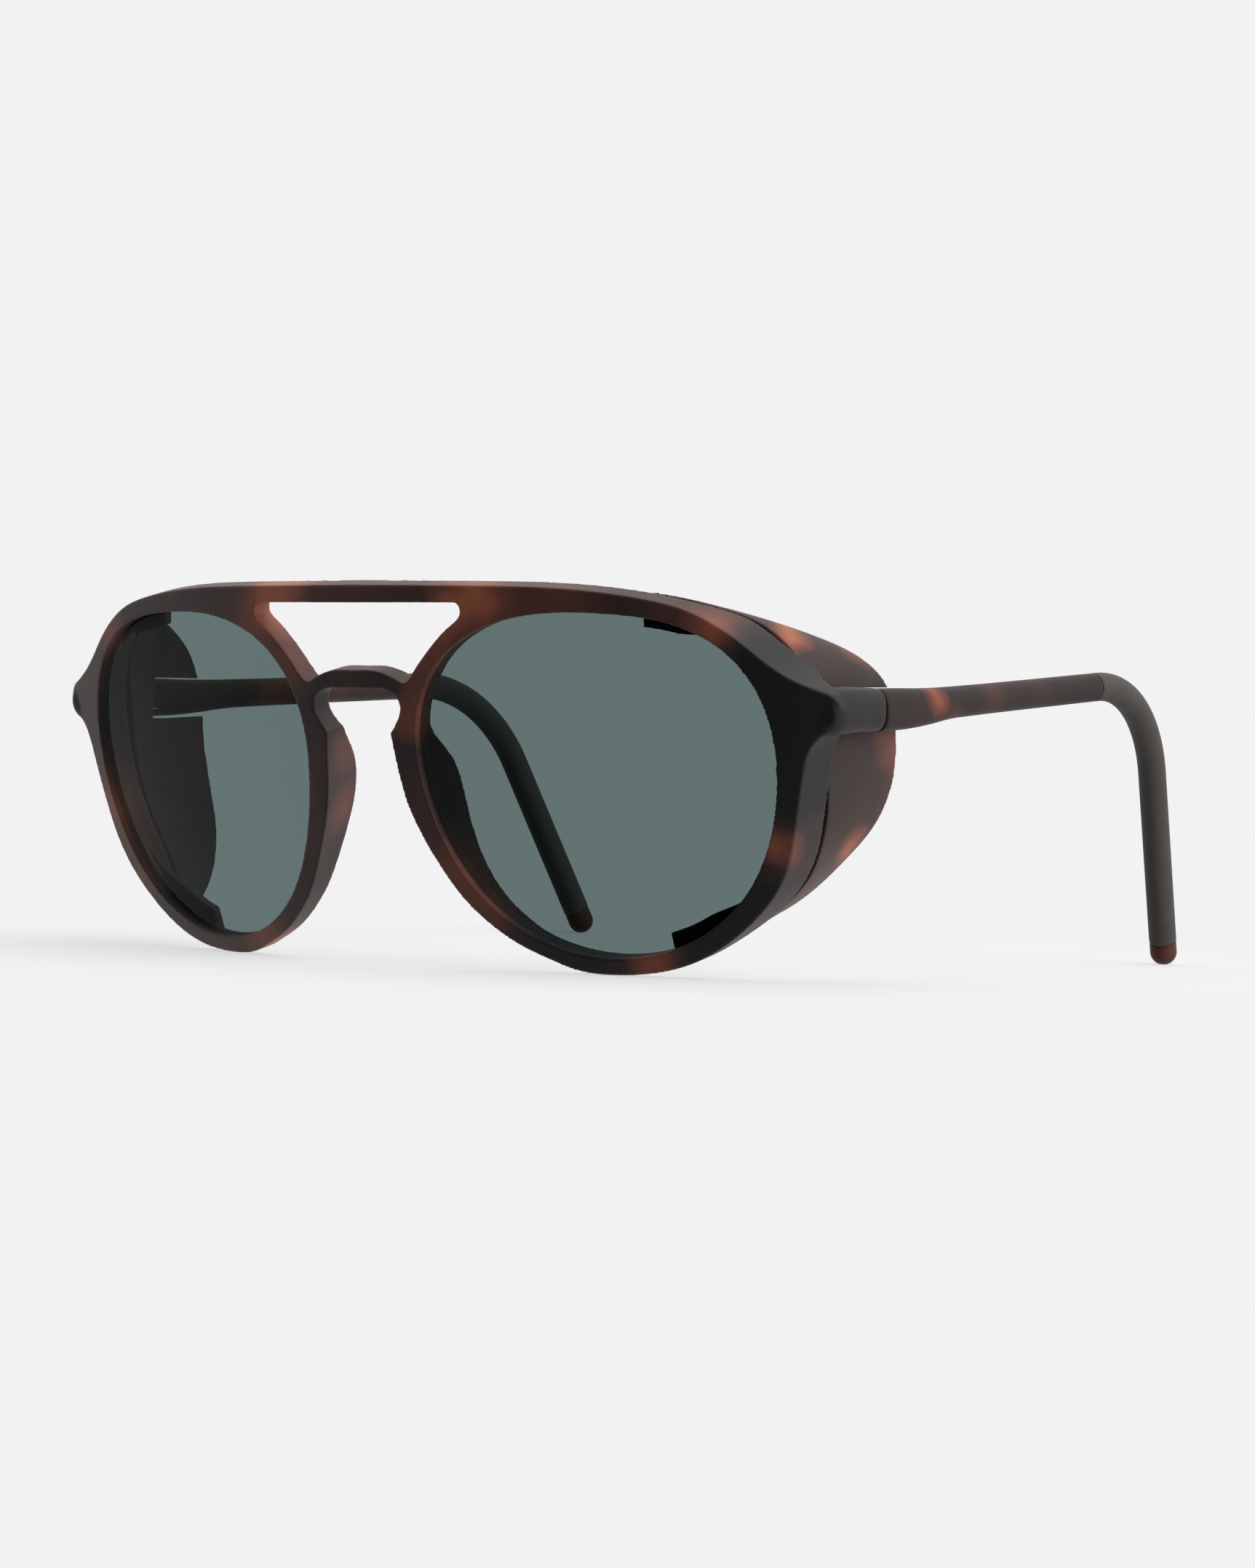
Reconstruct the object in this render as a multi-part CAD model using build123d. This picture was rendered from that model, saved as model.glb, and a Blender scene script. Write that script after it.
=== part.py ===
from build123d import *
import math
import os

os.makedirs("parts", exist_ok=True)

# Glacier glasses, millimetres. X is the wearer's left, Y runs back along the temples, Z is up.
# The design frame has its origin between the lenses. PLACE moves it to the middle of the base.
PLACE = Location((0, -56.8, 24.35))

# Front
TILT = 13.5                 # pantoscopic lean of the front, top forward
FACE_R = 155.0              # spherical curve of the front face
FRONT_T = 3.4               # depth of the front at the bridge and above the lenses
WALL_T = 6.0                # depth of the rim wall at the temple side
WING_BACK = 8.4             # deepest point of the nose wings
WING_MID = -3.0             # height of that point
WING_R = 34.0               # curve of the wings' free edge, seen from the side

# Lenses
LENS_T = 1.8
LENS_LIP = 0.9              # depth of the front lip in front of the lens
LENS_SEAT = 0.8             # how far the lens reaches into the rim

# Temples
HINGE_Y = 24.0              # seam between the stub and the temple
HINGE_Z = 11.3
ARM_X = 66.2
ARM_W = 4.4
ARM_H = 5.6
NECK_R = 1.98               # round part of the arm, and the sleeve over the bend
WIRE_R = 0.6
BEND = Vector(61.4, 98.0, 16.6)
BEND_R = 20.9
TIP_END = Vector(54.4, 115.7, -22.47)
SEAM_Y = 82.0               # where the sleeve meets the arm
END_CAP = 2.6               # exposed length of the end cap, dome included

# Hinge
AXIS_X = 63.8
KNUCKLE_R = 1.2
KNUCKLE_H = 1.4
SCREW_R = 0.6
LEAF_T = 0.8
LEAF_H = 3.2

# Side shield
SHELL_T = 1.3
NOTCH_Y = 22.6              # front end of the notch that lets the temple fold through
NOTCH_LOW = 8.1
NOTCH_HIGH = 15.0

# Half outline of the front, (across, up), from the top of the bridge round to the nose
BROW = [
    (0, 26.8), (13.7, 26.6), (25.0, 26.2), (35.5, 25.3), (44.3, 23.7), (49.0, 22.3), (52.7, 20.4),
    (56.2, 17.8), (59.7, 14.5), (63.0, 11.9), (66.4, 10.1), (67.9, 9.1), (68.6, 7.3),
]
CHEEK = [
    (68.6, 7.3), (67.6, 5.3), (65.9, 4.4), (64.5, 3.2), (63.1, -0.3), (62.3, -3.5), (61.3, -7.5),
    (59.8, -12.2), (57.4, -16.2), (53.4, -20.2), (49.6, -22.9), (44.1, -25.4), (39.7, -26.3),
    (34.0, -26.5), (28.9, -25.8), (25.2, -24.3), (20.9, -22.1), (16.9, -19.1), (13.6, -15.6),
    (11.0, -11.5), (8.8, -7.2), (7.1, -2.7), (6.2, 2.0), (5.6, 7.0),
]
KEYHOLE = [(5.6, 7.0), (7.0, 8.8), (7.6, 10.2), (7.1, 12.0), (6.2, 12.6), (4.3, 13.0), (0, 13.1)]
SLOT_LOW = [(0, 15.4), (4.6, 15.3), (7.5, 14.0), (8.8, 13.7)]
SLOT_SIDE = [(8.8, 13.7), (10.7, 15.5), (13.3, 18.5), (15.7, 20.6), (17.7, 22.0), (18.1, 22.9), (17.4, 24.2)]
OPENING = [
    (59.8, 0.0), (59.0, 8.8), (54.4, 16.3), (46.8, 20.5), (38.8, 22.0), (31.0, 22.4), (22.7, 21.2),
    (14.8, 16.9), (10.3, 9.0), (10.2, 0.0), (12.5, -8.2), (16.7, -15.3), (23.0, -20.7), (30.8, -23.7),
    (39.2, -23.9), (47.2, -21.2), (53.8, -15.8), (58.0, -8.4),
]
NOSE = [
    (5.7, 6.6), (6.2, 3.0), (6.6, 0), (7.1, -2.7), (8.8, -7.2), (11.0, -11.5), (13.6, -15.6), (16.9, -19.1),
    (20.9, -22.1),
]

# Side shield: (across, up, depth behind the front face) of the front edge, then X, Y, Z of the rear edge
SHIELD = [
    ((43.5, 24.0, 3.4), (46.0, 8.5, 24.1)),
    ((47.5, 22.9, 3.6), (50.0, 12.2, 23.7)),
    ((51.5, 21.1, 4.8), (54.0, 18.0, 22.4)),
    ((55.5, 18.3, 7.2), (57.2, 24.1, 20.3)),
    ((58.6, 15.3, 7.2), (59.6, 28.6, 17.9)),
    ((60.4, 12.0, 7.2), (60.9, 31.5, 14.8)),
    ((60.9, 8.0, 7.2), (61.3, 33.0, 10.5)),
    ((61.5, 3.5, 7.2), (61.4, 33.4, 5.5)),
    ((61.9, -1.5, 7.2), (60.9, 33.3, 1.0)),
    ((61.6, -6.0, 7.2), (59.6, 32.5, -3.2)),
    ((60.0, -11.5, 7.2), (56.9, 30.1, -8.0)),
    ((57.0, -16.6, 7.0), (53.2, 25.8, -13.4)),
    ((52.5, -20.9, 4.8), (49.6, 21.3, -17.0)),
    ((47.5, -24.0, 3.6), (46.0, 17.0, -19.8)),
    ((42.5, -25.8, 3.4), (43.0, 13.6, -21.8)),
]


def up_wall(points, y=0.0):
    """Turn (across, up) pairs into points on an upright plane."""
    return [Vector(a, y, b) for a, b in points]


def sphere_region(depth):
    """Everything deeper than the given distance behind the front face."""
    ball = Solid.make_sphere(FACE_R - depth, angle1=-90, angle2=90, angle3=360)
    return Location((0, FACE_R, 0)) * ball


def layer(solid, near, far):
    """The part of a prism between two depths behind the front face."""
    return solid & (sphere_region(near) - sphere_region(far))


def prism(edges, y0=-6.0, y1=40.0):
    """A prism along Y from a closed loop of edges drawn at y = 0."""
    face = make_face(edges)
    return Location((0, y0, 0)) * extrude(face, amount=y1 - y0, dir=(0, 1, 0))


def lean(solid):
    """Lean a solid drawn upright into the tilt of the front."""
    return Rot(TILT, 0, 0) * solid


def behind_face(across, up, depth):
    """The point at a depth behind the front face, in the design frame."""
    back = FACE_R - math.sqrt((FACE_R - depth) ** 2 - across ** 2 - up ** 2)
    tilt = math.radians(TILT)
    y = back * math.cos(tilt) - up * math.sin(tilt)
    z = up * math.cos(tilt) + back * math.sin(tilt)
    return Vector(across, y, z)


def grown_opening(margin):
    """The lens opening, grown outward by a margin."""
    points = []
    count = len(OPENING)
    for index, (across, up) in enumerate(OPENING):
        before = OPENING[index - 1]
        after = OPENING[(index + 1) % count]
        run = after[0] - before[0]
        rise = after[1] - before[1]
        length = math.hypot(run, rise)
        points.append((across + margin * rise / length, up - margin * run / length))
    return Spline(*up_wall(points), periodic=True)


def half_blank():
    """Half of the front as a prism, with its slot, keyhole and lens opening cut through."""
    brow = Spline(*up_wall(BROW), tangents=[(1, 0, 0), (-0.1, 0, -1)])
    cheek = Spline(*up_wall(CHEEK))
    keyhole = Spline(*up_wall(KEYHOLE))
    middle = Line((0, 0, 13.1), (0, 0, 26.8))
    blank = prism([brow, cheek, keyhole, middle])
    slot_low = Spline(*up_wall(SLOT_LOW))
    slot_side = Spline(*up_wall(SLOT_SIDE))
    slot_top = Line((17.4, 0, 24.2), (-1, 0, 24.3))
    slot_mid = Line((-1, 0, 24.3), (-1, 0, 15.4))
    slot_start = Line((-1, 0, 15.4), (0, 0, 15.4))
    slot = prism([slot_low, slot_side, slot_top, slot_mid, slot_start])
    return blank - slot - prism([grown_opening(0)])


def nose_wing():
    """The flared wall that rests on the side of the nose."""
    front = []
    rear = []
    for across, up in NOSE:
        front.append((across, up))
        rear.append((across + 2.3, up - 0.4))
    for across, up in reversed(NOSE):
        front.append((across + 2.4, up + 1.2))
        rear.append((across + 4.3, up + 0.8))
    face_a = make_face(Polyline(*up_wall(front, 1.5), close=True))
    face_b = make_face(Polyline(*up_wall(rear, 9.5), close=True))
    wing = loft([face_a, face_b])
    crown = Location((0, WING_BACK - WING_R, WING_MID), (0, 90, 0)) * Cylinder(WING_R, 90)
    ramp = Location((0, 3.6, 8.0), (42, 0, 0)) * Pos(0, 20, 0) * Box(60, 40, 90)
    return (wing & crown) - ramp


def stub():
    """The end piece that carries the hinge, drawn in the design frame and leaned back to upright."""
    plan = Plane.XZ * Pos(ARM_X, HINGE_Z) * RectangleRounded(ARM_W, ARM_H, 2.1)
    bar = extrude(plan, amount=-HINGE_Y + 0.1)
    bar = bar - Pos(ARM_X, 0, HINGE_Z) * Box(20, 25.0, 20)
    relief = Pos(AXIS_X, HINGE_Y, HINGE_Z) * Cylinder(KNUCKLE_R + 0.25, 12)
    return Rot(-TILT, 0, 0) * (bar - relief)


def front_half(ramp):
    """Half of the one-piece front, upright. The deep wall starts along a plane turned by the ramp angle."""
    blank = half_blank()
    thin = layer(blank, 0, FRONT_T)
    outer_cut = Location((49.0, 12.0, 0), (0, 0, ramp)) * Pos(40, 0, 0) * Box(80, 80, 90)
    deep = layer(blank, FRONT_T - 0.5, WALL_T) & outer_cut
    wing = nose_wing() & sphere_region(1.0)
    solid = thin + deep + wing
    solid = solid - prism([grown_opening(0)])
    solid = solid + (stub() & sphere_region(0.7))
    lens_seat = layer(prism(grown_opening(LENS_SEAT)), LENS_LIP, LENS_LIP + LENS_T)
    return solid - lens_seat


def lens():
    plate = prism(grown_opening(LENS_SEAT))
    return lean(layer(plate, LENS_LIP, LENS_LIP + LENS_T))


def shield_section(front, rear):
    """One slice across the shell, from its front edge to its rear edge."""
    start = behind_face(*front)
    end = Vector(*rear)
    middle = (start + end) * 0.5
    outward = Vector(middle.X - 34.0, 0, middle.Z - 2.0).normalized()
    length = (end - start).length
    crown = middle + outward * (0.03 * length)
    inward = outward * -SHELL_T
    outer = ThreePointArc(start, crown, end)
    back = Line(end, end + inward)
    inner = ThreePointArc(end + inward, crown + inward, start + inward)
    front_edge = Line(start + inward, start)
    return make_face([outer, back, inner, front_edge])


def side_shield(front_solid):
    """Cup-shaped shell with a mounting tab above and below and a notch for the folding temple."""
    shell = loft([shield_section(front, rear) for front, rear in SHIELD], ruled=True)
    band = prism(grown_opening(2.2)) - prism(grown_opening(-1.4))
    tabs = layer(band, FRONT_T, FRONT_T + SHELL_T)
    tabs = tabs & Pos(48.5, 10, 0) * Box(15, 60, 80)
    tabs = tabs - Pos(48.5, 10, 0) * Box(30, 60, 24)
    solid = shell + lean(tabs)
    notch = Pos(61, NOTCH_Y + 20, (NOTCH_LOW + NOTCH_HIGH) / 2) * Box(12, 40, NOTCH_HIGH - NOTCH_LOW)
    return solid - notch - front_solid


def temple_path():
    """The centre line of one temple, as its straight, its bend and its drop."""
    hinge_end = Vector(ARM_X, HINGE_Y + 0.2, HINGE_Z)
    along = (BEND - hinge_end).normalized()
    down = (TIP_END - BEND).normalized()
    turn = math.acos(along.dot(down))
    reach = BEND_R * math.tan(turn / 2)
    start = BEND - along * reach
    end = BEND + down * reach
    side = (down - along * along.dot(down)).normalized()
    centre = start + side * BEND_R
    top = centre + (BEND - centre).normalized() * BEND_R
    return hinge_end, along, down, start, top, end


def rod(points, radius):
    """A round rod along the temple path, from a point on the straight to a point on the drop."""
    first, start, top, end, last = points
    path = Wire([Line(first, start), ThreePointArc(start, top, end), Line(end, last)])
    section = Plane(origin=first, z_dir=(start - first)) * Circle(radius)
    return sweep(section, path=path)


def hinge_leaf(side):
    """A leaf with its knuckles: side -1 belongs to the front, side +1 to the temple."""
    pitch = KNUCKLE_H + 0.05
    heights = [HINGE_Z - pitch, HINGE_Z + pitch] if side < 0 else [HINGE_Z]
    others = [HINGE_Z] if side < 0 else [HINGE_Z - pitch, HINGE_Z + pitch]
    bore = SCREW_R if side < 0 else SCREW_R + 0.05
    plate = Pos(AXIS_X + 0.6, HINGE_Y + side * 4.2, HINGE_Z) * Box(LEAF_T, 8.4, LEAF_H)
    for height in others:
        plate = plate - Pos(AXIS_X, HINGE_Y, height) * Cylinder(KNUCKLE_R + 0.15, KNUCKLE_H + 0.1)
    for height in heights:
        plate = plate + Pos(AXIS_X, HINGE_Y, height) * Cylinder(KNUCKLE_R, KNUCKLE_H)
    return plate - Pos(AXIS_X, HINGE_Y, HINGE_Z) * Cylinder(bore, 10)


def hinge_screw():
    height = 3 * KNUCKLE_H + 0.1
    shank = Pos(AXIS_X, HINGE_Y, HINGE_Z) * Cylinder(SCREW_R, height)
    head = Pos(AXIS_X, HINGE_Y, HINGE_Z + height / 2 + 0.25) * Cylinder(1.0, 0.5)
    drive = Pos(AXIS_X, HINGE_Y, HINGE_Z + height / 2 + 0.5) * Box(2.4, 0.3, 0.5)
    return shank + head - drive


def arm_section(origin, along, width, height):
    plane = Plane(origin=origin, x_dir=(1, 0, 0), z_dir=along)
    radius = 0.48 * min(width, height)
    return plane * RectangleRounded(width, height, radius)


def temple():
    """The arm, its wire, the sleeve over the bend and the end cap."""
    first, along, down, start, top, end = temple_path()
    seam = first + along * ((SEAM_Y - first.Y) / along.Y)
    wire_start = first + along * 11.0
    cap_start = TIP_END - down * (END_CAP - NECK_R)
    wire_end = cap_start + down * 0.9
    wire = rod((wire_start, start, top, end, wire_end), WIRE_R)
    sections = [
        arm_section(first, along, ARM_W, ARM_H),
        arm_section(first + along * 7.0, along, ARM_W, ARM_H - 0.1),
        arm_section(first + along * 13.5, along, ARM_W - 0.1, 4.9),
        arm_section(first + along * 20.0, along, 4.15, 4.25),
        arm_section(first + along * 36.0, along, 4.0, 4.0),
        arm_section(seam, along, 2 * NECK_R, 2 * NECK_R),
    ]
    arm = loft(sections)
    arm = arm - Pos(AXIS_X, HINGE_Y, HINGE_Z) * Cylinder(KNUCKLE_R + 0.25, 12)
    arm = arm - wire
    arm = arm - hinge_leaf(1)
    sleeve = rod((seam, start, top, end, cap_start), NECK_R) - wire
    shank = Plane(origin=cap_start, z_dir=down) * Circle(NECK_R)
    cap = extrude(shank, amount=0.7)
    dome = Location(Plane(origin=cap_start + down * 0.7, z_dir=down))
    cap = cap + dome * Sphere(NECK_R)
    cap = cap - Plane(origin=cap_start, z_dir=down) * Pos(0, 0, -10) * Box(20, 20, 20)
    cap = cap - wire
    return arm, sleeve, wire, cap


def place(solid):
    return PLACE * solid


def write(node, solid):
    export_step(solid, os.path.join("parts", node + ".step"))


def write_pair(name, solid):
    """Write the left piece and its mirror image for the right."""
    write(name + "_left", place(solid))
    write(name + "_right", place(mirror(solid, about=Plane.YZ)))


front_leaf = hinge_leaf(-1)
half = lean(front_half(-57)) - front_leaf
shield = side_shield(lean(front_half(58)))
front = half + mirror(half, about=Plane.YZ)
write("front_frame", place(front))
write_pair("lens", lens())
write_pair("side_shield", shield)
write_pair("hinge_front_leaf", front_leaf)
write_pair("hinge_temple_leaf", hinge_leaf(1))
write_pair("hinge_screw", hinge_screw())
arm_solid, sleeve_solid, wire_solid, cap_solid = temple()
write_pair("temple_arm", arm_solid)
write_pair("temple_sleeve", sleeve_solid)
write_pair("temple_wire", wire_solid)
write_pair("temple_end_cap", cap_solid)
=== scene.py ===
import math

import bmesh
import bpy
import numpy as np
from mathutils import Matrix, Vector
from mathutils.geometry import delaunay_2d_cdt


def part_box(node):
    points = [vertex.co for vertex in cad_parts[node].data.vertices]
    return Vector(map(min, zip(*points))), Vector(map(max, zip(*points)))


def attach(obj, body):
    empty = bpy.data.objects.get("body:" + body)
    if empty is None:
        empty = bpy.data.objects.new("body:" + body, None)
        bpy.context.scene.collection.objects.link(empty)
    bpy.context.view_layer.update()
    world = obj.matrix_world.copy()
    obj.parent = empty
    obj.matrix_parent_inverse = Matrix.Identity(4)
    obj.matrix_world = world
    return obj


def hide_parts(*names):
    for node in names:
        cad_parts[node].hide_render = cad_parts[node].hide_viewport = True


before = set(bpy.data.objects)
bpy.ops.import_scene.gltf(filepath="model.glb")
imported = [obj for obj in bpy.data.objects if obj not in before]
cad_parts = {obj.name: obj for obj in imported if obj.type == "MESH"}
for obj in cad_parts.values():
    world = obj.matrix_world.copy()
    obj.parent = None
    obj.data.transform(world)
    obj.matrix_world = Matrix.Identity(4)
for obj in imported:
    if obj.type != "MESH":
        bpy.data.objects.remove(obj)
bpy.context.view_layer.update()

MM = 0.001

# ---------------------------------------------------------------- design frame
# Millimetres, origin between the lenses; the hinge screw says where that is in the row frame.
AXIS = np.array([63.8, 24.0])
SCREW_TOP = 13.95
low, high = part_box("hinge_screw_left")
ORIGIN = np.array([
    (low.x + high.x) / 2 - AXIS[0] * MM,
    (low.y + high.y) / 2 - AXIS[1] * MM,
    high.z - SCREW_TOP * MM,
])

FACE_R = 155.0
TILT = math.radians(13.5)
HINGE_Z = 11.3
ARM_X = 66.2
LENS_DEPTH = 0.9
LENS_T = 1.8
TAB_DEPTH = 3.4
TAB_T = 1.4
TAB_REACH = 2.1
SLEEVE_D = 3.97
WIRE_D = 1.2
FRONT_VOXEL = 0.19
SHIELD_VOXEL = 0.2

BROW = [
    (0, 26.8), (13.7, 26.6), (25.0, 26.2), (35.5, 25.3), (44.3, 23.7), (49.0, 22.3), (52.7, 20.4),
    (56.2, 17.8), (59.7, 14.5), (63.0, 11.9), (66.4, 10.1), (67.9, 9.1), (68.6, 7.3),
]
CHEEK = [
    (68.6, 7.3), (67.6, 5.3), (65.9, 4.4), (64.5, 3.2), (63.1, -0.3), (62.3, -3.5), (61.3, -7.5),
    (59.8, -12.2), (57.4, -16.2), (53.4, -20.2), (49.6, -22.9), (44.1, -25.4), (39.7, -26.3),
    (34.0, -26.5), (28.9, -25.8), (25.2, -24.3), (20.9, -22.1), (16.9, -19.1), (13.6, -15.6),
    (11.0, -11.5), (8.8, -7.2), (7.1, -2.7), (6.2, 2.0), (5.6, 7.0),
]
KEYHOLE = [(5.6, 7.0), (7.0, 8.8), (7.6, 10.2), (7.1, 12.0), (6.2, 12.6), (4.3, 13.0), (0, 13.1)]
SLOT_LOW = [(0, 15.45), (3.6, 15.4), (5.9, 14.85), (8.1, 13.85)]
SLOT_SIDE = [(8.1, 13.85), (8.65, 13.8), (9.2, 14.1), (10.5, 15.5), (13.3, 18.5), (15.7, 20.6), (17.4, 21.8)]
SLOT_END = [(17.4, 21.8), (18.0, 22.4), (18.2, 23.2), (17.9, 23.9), (17.2, 24.25)]
SLOT_TOP = [(17.2, 24.25), (12, 24.35), (6, 24.4), (0, 24.4)]
OPENING = [
    (59.8, 0.0), (59.0, 8.8), (54.4, 16.3), (46.8, 20.5), (38.8, 22.0), (31.0, 22.4), (22.7, 21.2),
    (14.8, 16.9), (10.3, 9.0), (10.2, 0.0), (12.5, -8.2), (16.7, -15.3), (23.0, -20.7), (30.8, -23.7),
    (39.2, -23.9), (47.2, -21.2), (53.8, -15.8), (58.0, -8.4),
]


def to_row(points):
    """Design-frame millimetres to row-frame metres."""
    return np.asarray(points, float) * MM + ORIGIN


def from_face(across, up, back):
    """Face coordinates (across, up, back), leaned by the tilt, to design-frame millimetres."""
    y = back * math.cos(TILT) - up * math.sin(TILT)
    z = up * math.cos(TILT) + back * math.sin(TILT)
    return np.stack([across, y, z], axis=-1)


def face_depth(across, up, depth):
    """How far back the surface at a depth behind the front face lies, at a place on the face."""
    return FACE_R - np.sqrt((FACE_R - depth) ** 2 - across ** 2 - up ** 2)


def spline(points, step, closed=False):
    """A smooth curve through points (any dimension), sampled about every step."""
    p = np.asarray(points, float)
    if closed:
        p = np.vstack([p, p[:1]])
    t = np.concatenate([[0], np.cumsum(np.linalg.norm(np.diff(p, axis=0), axis=1))])
    n = len(p)
    h = np.diff(t)
    a = np.zeros((n, n))
    b = np.zeros((n, p.shape[1]))
    slope = np.diff(p, axis=0) / h[:, None]
    for i in range(1, n - 1):
        a[i, i - 1] = h[i - 1]
        a[i, i] = 2 * (h[i - 1] + h[i])
        a[i, i + 1] = h[i]
        b[i] = 6 * (slope[i] - slope[i - 1])
    if closed:
        a[0, 0] = 2 * (h[-1] + h[0])
        a[0, 1] = h[0]
        a[0, n - 2] = h[-1]
        b[0] = 6 * (slope[0] - slope[-1])
        a[-1, 0] = 1
        a[-1, -1] = -1
    else:
        a[0, 0] = 1
        a[-1, -1] = 1
    m = np.linalg.solve(a, b)
    count = max(int(round(t[-1] / step)), 8)
    s = np.linspace(0, t[-1], count + 1)
    if closed:
        s = s[:-1]
    k = np.clip(np.searchsorted(t, s, side="right") - 1, 0, n - 2)
    x = (s - t[k])[:, None]
    g = h[k][:, None]
    curve = (
        m[k] * (g - x) ** 3 / (6 * g)
        + m[k + 1] * x ** 3 / (6 * g)
        + (p[k] / g - m[k] * g / 6) * (g - x)
        + (p[k + 1] / g - m[k + 1] * g / 6) * x
    )
    return curve


def inside(points, loop):
    """Which points lie inside a closed loop."""
    x, y = points[:, 0], points[:, 1]
    result = np.zeros(len(points), bool)
    a = loop
    b = np.roll(loop, -1, axis=0)
    for (ax, ay), (bx, by) in zip(a, b):
        crosses = (ay > y) != (by > y)
        if not crosses.any():
            continue
        where = (bx - ax) * (y - ay) / (by - ay + 1e-12) + ax
        result ^= crosses & (x < where)
    return result


def distance(points, loop):
    """Distance from each point to the nearest sample of a loop."""
    best = np.full(len(points), 1e9)
    for i in range(0, len(loop), 256):
        part = loop[i:i + 256]
        d = np.linalg.norm(points[:, None, :] - part[None, :, :], axis=2).min(axis=1)
        best = np.minimum(best, d)
    return best


def smoothstep(x, a, b):
    t = np.clip((x - a) / (b - a), 0, 1)
    return t * t * (3 - 2 * t)


def make_object(name, verts, faces):
    mesh = bpy.data.meshes.new(name)
    mesh.from_pydata([tuple(v) for v in to_row(verts)], [], [tuple(int(i) for i in f) for f in faces])
    mesh.validate()
    bm = bmesh.new()
    bm.from_mesh(mesh)
    bmesh.ops.recalc_face_normals(bm, faces=bm.faces)
    bm.to_mesh(mesh)
    bm.free()
    for polygon in mesh.polygons:
        polygon.use_smooth = True
    obj = bpy.data.objects.new(name, mesh)
    bpy.context.scene.collection.objects.link(obj)
    return obj


def mirrored(obj, name):
    """A mirror copy across the middle plane of the glasses."""
    mesh = obj.data.copy()
    mesh.name = name
    mesh.transform(Matrix.Scale(-1, 4, Vector((1, 0, 0))))
    mesh.flip_normals()
    copy = bpy.data.objects.new(name, mesh)
    bpy.context.scene.collection.objects.link(copy)
    return copy


def apply_modifiers(obj):
    bpy.context.view_layer.update()
    depsgraph = bpy.context.evaluated_depsgraph_get()
    mesh = bpy.data.meshes.new_from_object(obj.evaluated_get(depsgraph))
    old = obj.data
    obj.modifiers.clear()
    obj.data = mesh
    bpy.data.meshes.remove(old)
    for polygon in mesh.polygons:
        polygon.use_smooth = True


def fuse(obj, voxel, smooth_steps, rounder=None):
    """Fuse overlapping closed shells into one skin and soften it, more so where rounder(points) is 1."""
    remesh = obj.modifiers.new("fuse", "REMESH")
    remesh.mode = "VOXEL"
    remesh.voxel_size = voxel * MM
    remesh.use_smooth_shade = True
    soften = obj.modifiers.new("soften", "SMOOTH")
    soften.factor = 0.5
    soften.iterations = smooth_steps
    apply_modifiers(obj)
    if rounder is None:
        return
    points = np.empty(len(obj.data.vertices) * 3)
    obj.data.vertices.foreach_get("co", points)
    weights = rounder((points.reshape(-1, 3) - ORIGIN) / MM)
    group = obj.vertex_groups.new(name="rounder")
    for index in np.nonzero(weights > 0.01)[0]:
        group.add([int(index)], float(weights[index]), "REPLACE")
    extra = obj.modifiers.new("rounder", "SMOOTH")
    extra.factor = 0.5
    extra.iterations = 24
    extra.vertex_group = "rounder"
    apply_modifiers(obj)
    obj.vertex_groups.clear()


def join(objects, name):
    """Join meshes into the first object."""
    bm = bmesh.new()
    for obj in objects:
        bm.from_mesh(obj.data)
    mesh = bpy.data.meshes.new(name)
    bm.to_mesh(mesh)
    bm.free()
    for obj in objects:
        old = obj.data
        bpy.data.objects.remove(obj)
        bpy.data.meshes.remove(old)
    joined = bpy.data.objects.new(name, mesh)
    bpy.context.scene.collection.objects.link(joined)
    return joined


def triangulated(outer, holes, spacing):
    """A flat triangulation of a region with holes: points, triangles and the index range of each loop."""
    loops = [outer] + holes
    lo = outer.min(axis=0)
    hi = outer.max(axis=0)
    rows = np.arange(lo[1], hi[1], spacing * 0.866)
    grid = []
    for r, y in enumerate(rows):
        for x in np.arange(lo[0] + (r % 2) * spacing / 2, hi[0], spacing):
            grid.append((x, y))
    grid = np.array(grid)
    keep = inside(grid, outer)
    for hole in holes:
        keep &= ~inside(grid, hole)
    grid = grid[keep]
    for loop in loops:
        grid = grid[distance(grid, loop) > spacing * 0.55]
    points = np.vstack(loops + [grid])
    edges = []
    ranges = []
    start = 0
    for loop in loops:
        n = len(loop)
        edges += [(start + i, start + (i + 1) % n) for i in range(n)]
        ranges.append((start, n))
        start += n
    result = delaunay_2d_cdt([Vector(p) for p in points], edges, [], 0, 1e-5)
    verts, faces = result[0], result[2]
    flat = np.array([tuple(v) for v in verts])
    assert len(flat) == len(points)
    tri = np.array([tuple(f) for f in faces])
    centre = flat[tri].mean(axis=1)
    keep = inside(centre, outer)
    for hole in holes:
        keep &= ~inside(centre, hole)
    return flat, tri[keep], ranges


def slab(name, outer, holes, spacing, shape, layers):
    """A closed solid from a flat region: shape(points, t) places it from the front, t=0, to the back, t=1."""
    flat, tri, ranges = triangulated(outer, holes, spacing)
    n = len(flat)
    verts = [shape(flat, 0.0), shape(flat, 1.0)]
    faces = [tuple(f) for f in tri] + [tuple(n + i for i in f[::-1]) for f in tri]
    base = 2 * n
    for start, count in ranges:
        previous = np.arange(start, start + count)
        for layer in range(1, layers + 1):
            if layer == layers:
                current = n + np.arange(start, start + count)
            else:
                ring = shape(flat[start:start + count], layer / layers, (flat, start, count))
                verts.append(ring)
                current = base + np.arange(count)
                base += count
            for i in range(count):
                j = (i + 1) % count
                faces.append((previous[i], previous[j], current[j], current[i]))
            previous = current
    return make_object(name, np.vstack(verts), faces)


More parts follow.
